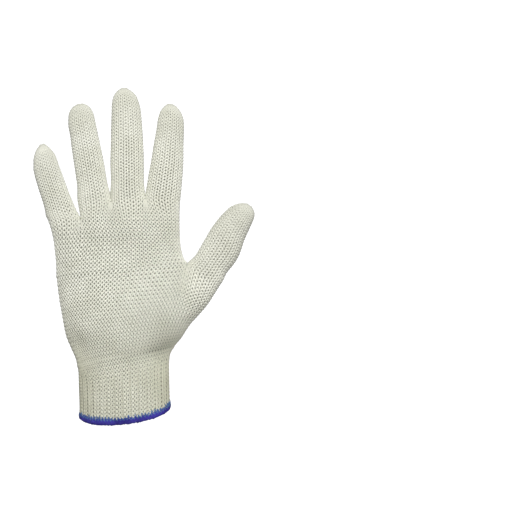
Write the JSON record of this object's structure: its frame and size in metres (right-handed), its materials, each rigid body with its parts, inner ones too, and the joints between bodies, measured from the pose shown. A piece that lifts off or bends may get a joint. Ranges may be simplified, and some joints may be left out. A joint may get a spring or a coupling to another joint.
{
  "type": "cotton work glove",
  "caption": "Knitted string work glove for a right hand, with fingers, a ribbed wrist and an overlocked coloured hem, filled out as worn.",
  "frame": {"origin": "centre of the wrist opening, in the plane of its hem", "axes": "+Z from the wrist to the fingertips, the palm faces -Y, the thumb points to +X"},
  "size_m": [0.1579, 0.047, 0.2377],
  "materials": {
    "cotton_knit": "matte undyed cotton yarn",
    "cotton_rib": "matte undyed cotton yarn over elastic",
    "hem_thread": "matte blue sewing thread"
  },
  "bodies": {
    "root": {"overlock_hem": "hem_thread", "rib_cuff": "cotton_rib", "hand": "cotton_knit", "little_finger": "cotton_knit", "ring_finger": "cotton_knit", "middle_finger": "cotton_knit", "index_finger": "cotton_knit", "thumb": "cotton_knit"}
  },
  "joints": []
}
